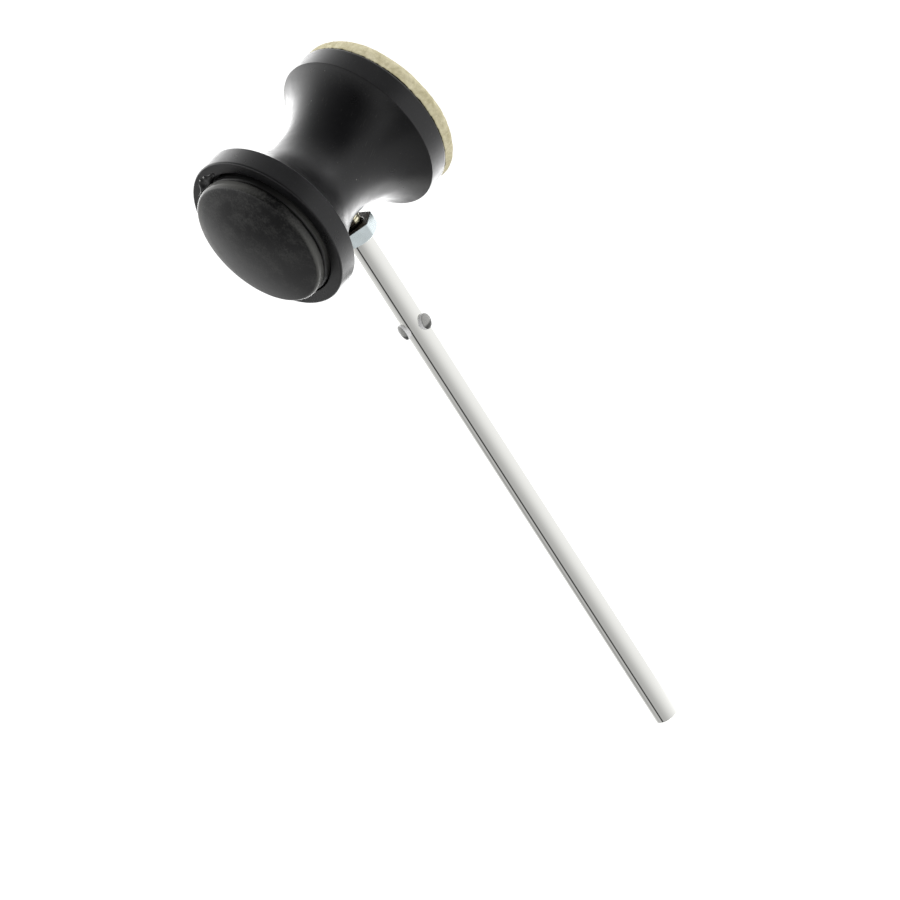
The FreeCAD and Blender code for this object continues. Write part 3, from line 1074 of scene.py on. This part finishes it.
def glue_surface(sizes, core):
    """Squeezed-out glue: an oval section carried round the recess's edge, which swells and thins at random.

    The section's middle lies outside the recess's edge by a third of the glue's width. Its width and height
    follow sin(t)^0.6 along the stretch, times 1 + a random field. The second result is 1 on its outer edge.
    """
    rows = 61
    along = np.linspace(0, 1, rows)[1:-1]
    turn = sizes.glue_start + (sizes.glue_end - sizes.glue_start) * along
    size = np.sin(math.pi * along) ** 0.6
    # The field is read along a slanting line about 40 mm long
    line = along[:, None] * np.array([40.0, 7.0, 3.0]) * MM
    lumps = grain(line, wavelength=9 * MM, seed=31)
    width = sizes.glue_width / 2 * size * (1 + 0.3 * lumps)
    tall = sizes.glue_height * size * (1 - 0.15 * lumps)
    recess = (core.band_diameter - 2 * core.band_wall) / 2
    sway = 0.25 * MM
    middle = recess + sizes.glue_width / 3 + sway * lumps
    section = round_angles(columns=28)
    out = middle[:, None] + width[:, None] * np.cos(section)
    sunk = 0.25 * MM
    stand = HARD_FACE + sunk - tall[:, None] * np.sin(section)
    rings = rings_round_head(stand, out, turn[:, None])
    roughness = 0.06 * MM * grain(rings, wavelength=3.5 * MM, seed=33)
    rings = rings + roughness[..., None] * np.array([1.0, 0.0, 0.0])
    surface = skin(rings, start=rings[0].mean(axis=0), end=rings[-1].mean(axis=0))
    edge = smooth_step(0.1, 0.5, np.cos(section)) * np.ones_like(turn)[:, None]
    return surface, edge


class BEATER_OT_hard_face(bpy.types.Operator):
    """Make the backing disc, the domed striking cap and the glue squeezed out beside them"""

    bl_idname = "beater.hard_face"
    bl_label = "Hard face"

    def execute(self, context):
        sizes = context.scene.beater_hard_face
        angles = round_angles(columns=256)
        surface, wear_and_highlight = backing_surface(sizes, angles)
        material = cut_sheet_rubber(sizes.backing, sizes.wear_and_highlight)
        piece = dress("rubber_backing", surface, material, "head", "backing_rubber", "cap_backing")
        add_attribute(piece, "rim", wear_and_highlight, poles=(0, 0))
        surface, wear_and_highlight = cap_surface(sizes, angles)
        material = moulded_hard_rubber(sizes.rubber, sizes.scuff, sizes.wear_and_highlight)
        piece = dress("striking_disc", surface, material, "head", "hard_cap", "striking_cap")
        add_attribute(piece, "rim", wear_and_highlight, poles=(0, 0))
        surface, edge = glue_surface(sizes, context.scene.beater_core)
        piece = dress("squeezed_glue", surface, dried_contact_glue(sizes.rubber), "head", "backing_rubber")
        add_attribute(piece, "edge", edge, poles=(0, 0))
        return {"FINISHED"}


def felt_surface(sizes):
    """The felt pad: a domed disc whose side strays from a circle and whose surface is matted.

    Every point moves along the disc's own normal by random fields of 14, 3 and 0.8 mm, which fade out on the
    flat back, and the front is drawn a little towards -Y and -Z, as the pad was glued on off centre.
    """
    radius = sizes.diameter / 2
    crown = FELT_TOP - FELT_FACE - sizes.edge_height
    back_edge = 0.5 * MM
    outline = rounded([
        (FELT_FACE, 0, 0),
        (FELT_FACE, radius, back_edge),
        (FELT_FACE + sizes.edge_height, radius, sizes.edge),
        (FELT_FACE + sizes.edge_height, 0, 0),
    ], steps=14)
    # Even steps along the outline
    walked = np.concatenate([[0], np.cumsum(np.linalg.norm(np.diff(outline, axis=0), axis=1))])
    rows = 150
    steps = np.linspace(0, walked[-1], rows)[1:-1]
    along = np.interp(steps, walked, outline[:, 0])
    out = np.interp(steps, walked, outline[:, 1])
    front = smooth_step(0, sizes.edge_height, along - FELT_FACE)
    along = along + crown * front * np.clip(1 - (out / radius) ** 2, 0, 1)
    ahead = np.gradient(along)
    outward = np.gradient(out)
    size = np.hypot(ahead, outward)
    angles = round_angles(columns=360)
    rings = rings_round_head(along[:, None], out[:, None], angles)
    normal = rings_round_head((outward / size)[:, None] * -1, (ahead / size)[:, None], angles) - HEAD_CENTRE
    held_height = 0.1 * MM
    free_height = 1.2 * MM
    free = smooth_step(held_height, free_height, along - FELT_FACE)[:, None]
    edge = smooth_step(0.6, 0.95, out / radius)[:, None]
    move = sizes.wander * grain(rings, wavelength=14 * MM, seed=3) * edge
    move = move + 0.05 * MM * grain(rings, wavelength=3 * MM, seed=5)
    move = move + 0.03 * MM * grain(rings, wavelength=0.8 * MM, seed=8)
    rings = rings + normal * (move * free)[..., None]
    shift = np.array([0.0, -0.4, -0.3]) * MM
    rings = rings + shift * front[:, None, None]
    surface = skin(rings, start=(FELT_FACE, 0, HEAD_HEIGHT), end=rings[-1].mean(axis=0))
    return surface, rings, normal


def fibre_surface(sizes, roots, normals):
    """Loose fibres: three-sided tubes along arcs of root + out t + sag t^2, thinner towards the tip."""
    random = np.random.default_rng(21)
    total = len(roots)
    rows = 6
    sides = 3
    lean = random.normal(size=(total, 3)) * 0.8
    out = normals + lean
    out /= np.linalg.norm(out, axis=1, keepdims=True)
    sag = random.normal(size=(total, 3)) * 0.6 - normals * 0.5
    reach = (sizes.fibre_length * random.uniform(0.35, 1.1, total))[:, None, None]
    share = np.linspace(0, 1, rows)[None, :, None]
    path = roots[:, None] + reach * (out[:, None] * share + sag[:, None] * share ** 2)
    across = np.cross(out, random.normal(size=(total, 3)))
    across /= np.linalg.norm(across, axis=1, keepdims=True)
    beside = np.cross(out, across)
    root_radius = 0.028 * MM
    thickness = root_radius * np.sqrt(np.clip(1.05 - share ** 2, 0, None))
    corner = round_angles(columns=sides)[:, None]
    round_path = across[:, None, None] * np.cos(corner) + beside[:, None, None] * np.sin(corner)
    rings = path[:, :, None] + round_path * thickness[..., None]
    # The faces of one tube, repeated for each
    numbers = np.arange(rows * sides).reshape(rows, sides)
    ends = np.array([numbers[0, ::-1], numbers[-1]])
    starts = (np.arange(total) * numbers.size)[:, None, None]
    quads = starts + skin(rings[0]).quads
    return Surface(rings.reshape(-1, 3), quads.reshape(-1, 4), (starts + ends).reshape(-1, 3))


class BEATER_OT_felt_pad(bpy.types.Operator):
    """Make the felt pad and the loose fibres on it"""

    bl_idname = "beater.felt_pad"
    bl_label = "Felt pad"

    def execute(self, context):
        sizes = context.scene.beater_felt
        surface, rings, normal = felt_surface(sizes)
        felt = pressed_wool_felt("pressed wool felt", sizes.pale, sizes.dark, sizes.glue)
        pad = dress("felt_disc", surface, felt, "head", "pressed_felt", "felt_pad")
        random = np.random.default_rng(13)
        bare_height = 0.8 * MM
        free = np.flatnonzero((rings[..., 0] > FELT_FACE + bare_height).ravel())
        chosen = random.choice(free, sizes.fibre_count, replace=False)
        normals = np.broadcast_to(normal, rings.shape).reshape(-1, 3)
        fibres = fibre_surface(sizes, rings.reshape(-1, 3)[chosen], normals[chosen])
        loose = pressed_wool_felt("loose wool fibre", sizes.pale, sizes.dark, sizes.glue)
        dress("felt_fuzz", fibres, loose, "head", "pressed_felt")
        return {"FINISHED"}


# The photograph's view: where it heads, how far it looks down, how far it is rolled, and what it centres on
VIEW_HEADING = math.radians(56.11)
VIEW_PITCH = math.radians(24.56)
VIEW_ROLL = math.radians(-32.89)
VIEW_TARGET = np.array([-31.4, -25.3, 135.7]) * MM
FLOOR_RADIUS = 12.0


def view_axes():
    """The photograph's right, up and inward directions in the beater's own frame.

    The sight goes along the heading and down by the pitch. The level direction to its right, and the one that
    rises above both, are then turned about it by the roll.
    """
    sight = np.array([
        math.cos(VIEW_HEADING) * math.cos(VIEW_PITCH),
        math.sin(VIEW_HEADING) * math.cos(VIEW_PITCH),
        -math.sin(VIEW_PITCH),
    ])
    level = np.array([math.sin(VIEW_HEADING), -math.cos(VIEW_HEADING), 0.0])
    rise = np.cross(level, sight)
    right = level * math.cos(VIEW_ROLL) + rise * math.sin(VIEW_ROLL)
    up = rise * math.cos(VIEW_ROLL) - level * math.sin(VIEW_ROLL)
    return right, up, sight


VIEW_RIGHT, VIEW_UP, VIEW_IN = view_axes()


def white_sweep():
    """A white studio floor: lit and shaded as matte paper, and white to the eye.

    What gloss mirrors of it is its tone.
    """
    material, tree = blank("white sweep")
    path = add(tree, "LightPath").outputs
    tone = add(tree, "Attribute", attribute_name="tone").outputs["Fac"]
    paper = add(tree, "BsdfDiffuse", {"Color": (0.8, 0.8, 0.8, 1)})
    lift = add(tree, "Math", (path["Is Camera Ray"], 0.45), operation="MULTIPLY")
    glow = add(tree, "Emission", {"Strength": lift})
    seen = add(tree, "AddShader", (paper, glow))
    mirrored = add(tree, "Emission", {"Strength": tone})
    reflected = add(tree, "Math", (path["Is Glossy Ray"], path["Is Transmission Ray"]), operation="MAXIMUM")
    both = add(tree, "MixShader", (reflected, seen, mirrored))
    add(tree, "OutputMaterial", {"Surface": both})
    material.cycles.emission_sampling = "NONE"
    return material


def floor_tone(degrees, reach):
    """How bright gloss mirrors the floor at an angle and a distance from the shaft, where 1 is white.

    White paper darkens to one side and has a dark gap in it. Soft patches, each a bump round the circle
    between two distances, take light away from it or add light to it.
    """
    def patch(strength, toward, width, start=-1.0, full=0.0, fading=FLOOR_RADIUS, end=2 * FLOOR_RADIUS):
        return strength * bump_round(degrees, toward, width) * between(start, full, fading, end, reach)

    gap_toward = 170
    gap = smooth_step(5, 10, np.abs(degrees - gap_toward))
    paper = (1 - patch(0.53, toward=190, width=78)) * (0.1 + 0.9 * gap)
    dim = 1 - patch(0.95, toward=170, width=70, start=1.0, full=1.2)
    shade = 1 - patch(0.5, toward=130, width=16, start=0.45, full=0.55, fading=0.8, end=0.95)
    behind = patch(4.8, toward=62, width=30, start=1.0, full=1.2)
    beneath = patch(2.0, toward=20, width=50, fading=0.4, end=0.55)
    beyond = patch(4.0, toward=56, width=18, start=0.3, full=0.5, fading=1.0, end=1.2)
    beside = patch(5.0, toward=26, width=12, start=0.3, full=0.42, fading=0.72, end=0.9)
    return paper * dim * shade + behind + beneath + beyond + beside


def white_studio():
    """White to the eye, a soft light for matte surfaces, and for gloss bright low down and dim above."""
    world = bpy.data.worlds.new("white studio")
    world.use_nodes = True
    tree = world.node_tree
    tree.nodes.clear()
    path = add(tree, "LightPath").outputs
    direction = add(tree, "TexCoord").outputs["Generated"]
    height = add(tree, "SeparateXYZ", {"Vector": direction}).outputs["Z"]
    wall = add(tree, "MapRange", {
        "Value": height, "From Min": 0.02, "From Max": 0.6, "To Min": 0.8, "To Max": 0.048,
    }, interpolation_type="SMOOTHSTEP")
    # A lit sheet hangs behind the beater and fades upwards
    backwards = (math.cos(VIEW_HEADING), math.sin(VIEW_HEADING), 0.0)
    behind = add(tree, "VectorMath", (direction, backwards), operation="DOT_PRODUCT")
    sheet = add(tree, "MapRange", {
        "Value": behind, "From Min": -0.5, "From Max": 0.85,
    }, interpolation_type="SMOOTHSTEP")
    fade = add(tree, "MapRange", {
        "Value": height, "From Min": 0.05, "From Max": 1.0, "To Min": 2.72, "To Max": 0.32,
    }, interpolation_type="SMOOTHSTEP")
    gloss = add(tree, "Math", (sheet, fade, wall), operation="MULTIPLY_ADD")
    even = add(tree, "Math", (sheet, 0.8, 0.32), operation="MULTIPLY_ADD")
    soft = add(tree, "Mix", {SHARE: path["Is Glossy Ray"], FROM_NUMBER: even, TO_NUMBER: gloss})
    clear = add(tree, "Math", (path["Is Camera Ray"], path["Is Transmission Ray"]), operation="MAXIMUM")
    strength = add(tree, "Mix", {SHARE: clear, FROM_NUMBER: soft, TO_NUMBER: 1.0})
    background = add(tree, "Background", {"Color": (1, 1, 1, 1), "Strength": strength})
    add(tree, "OutputWorld", {"Surface": background})
    world.cycles.sampling_method = "NONE"
    return world


def aim(thing, place, back, up):
    """Puts a lamp or camera at a place, looking away from its back, with a given side up."""
    back = back / np.linalg.norm(back)
    right = np.cross(up, back)
    right /= np.linalg.norm(right)
    matrix = np.eye(4)
    matrix[:3, 0] = right
    matrix[:3, 1] = np.cross(back, right)
    matrix[:3, 2] = back
    matrix[:3, 3] = place
    thing.matrix_world = matrix.T


class BEATER_OT_studio(bpy.types.Operator):
    """Make the floor, the light and the camera"""

    bl_idname = "beater.studio"
    bl_label = "Studio"

    def execute(self, context):
        scene = context.scene
        sizes = scene.beater_studio
        # The floor is a disc of rings, 50 mm apart near the shaft
        angles = round_angles(columns=720)
        step = 0.05
        reach = np.append(np.arange(step, 1.6, step), (2.0, 3.0, FLOOR_RADIUS))[:, None]
        rings = rings_round_shaft(-sizes.floor_drop, reach, angles)
        surface = skin(rings[::-1], end=(0, 0, -sizes.floor_drop))
        floor = put_surface("floor", surface, white_sweep())
        add_attribute(floor, "tone", floor_tone(np.degrees(angles), reach)[::-1], poles=1.0)
        scene.world = white_studio()
        lamp_distance = 1.3
        for name, side, power, width in (
            ("top light", VIEW_UP * 1.2 - VIEW_IN * 0.5, 6, 1.6),
            ("left light", VIEW_UP * 0.4 - VIEW_RIGHT * 1.2 + VIEW_IN * 0.3, 9, 1.2),
            ("right light", VIEW_RIGHT + VIEW_UP * 0.4 - VIEW_IN * 0.3, 10, 1.2),
        ):
            light = put(name, bpy.data.lights.new(name, "AREA"))
            light.data.energy = power
            light.data.size = width
            light.visible_camera = False
            light.visible_glossy = False
            aim(light, VIEW_TARGET + side * lamp_distance, side, VIEW_IN)
        camera = put("camera", bpy.data.cameras.new("camera"))
        camera.data.sensor_width = 36.0
        camera.data.lens = camera.data.sensor_width * sizes.camera_distance / sizes.field_width
        camera.data.clip_end = 100.0
        aim(camera, VIEW_TARGET - VIEW_IN * sizes.camera_distance, -VIEW_IN, VIEW_UP)
        scene.camera = camera
        scene.view_settings.view_transform = "Standard"
        return {"FINISHED"}


OPERATORS = (
    BEATER_OT_chromed_shaft,
    BEATER_OT_stop_lugs,
    BEATER_OT_lock_nut,
    BEATER_OT_head_core,
    BEATER_OT_hard_face,
    BEATER_OT_felt_pad,
    BEATER_OT_studio,
)
SETTINGS = {
    "beater_shaft": BeaterShaft,
    "beater_lugs": BeaterLugs,
    "beater_nut": BeaterNut,
    "beater_core": BeaterCore,
    "beater_hard_face": BeaterHardFace,
    "beater_felt": BeaterFelt,
    "beater_studio": BeaterStudio,
}


class BEATER_PT_pieces(bpy.types.Panel):
    """Lists the beater's pieces and their sizes"""

    bl_idname = "BEATER_PT_pieces"
    bl_label = "Bass drum beater"
    bl_space_type = "VIEW_3D"
    bl_region_type = "UI"
    bl_category = "Beater"

    def draw(self, context):
        for operator, (name, group) in zip(OPERATORS, SETTINGS.items()):
            box = self.layout.box()
            box.operator(operator.bl_idname)
            for size in group.__annotations__:
                box.prop(getattr(context.scene, name), size)


def register():
    """Registers the classes and gives the scene its settings."""
    for group in SETTINGS.values():
        bpy.utils.register_class(group)
    for operator in OPERATORS:
        bpy.utils.register_class(operator)
    bpy.utils.register_class(BEATER_PT_pieces)
    for name, group in SETTINGS.items():
        setattr(bpy.types.Scene, name, PointerProperty(type=group))


def unregister():
    """Takes the settings off the scene and unregisters the classes."""
    for name in SETTINGS:
        delattr(bpy.types.Scene, name)
    bpy.utils.unregister_class(BEATER_PT_pieces)
    for operator in OPERATORS:
        bpy.utils.unregister_class(operator)
    for group in SETTINGS.values():
        bpy.utils.unregister_class(group)


def main():
    """Makes all the pieces and the studio."""
    register()
    bpy.ops.beater.chromed_shaft()
    bpy.ops.beater.stop_lugs()
    bpy.ops.beater.lock_nut()
    bpy.ops.beater.head_core()
    bpy.ops.beater.hard_face()
    bpy.ops.beater.felt_pad()
    bpy.ops.beater.studio()


if __name__ == "__main__":
    main()
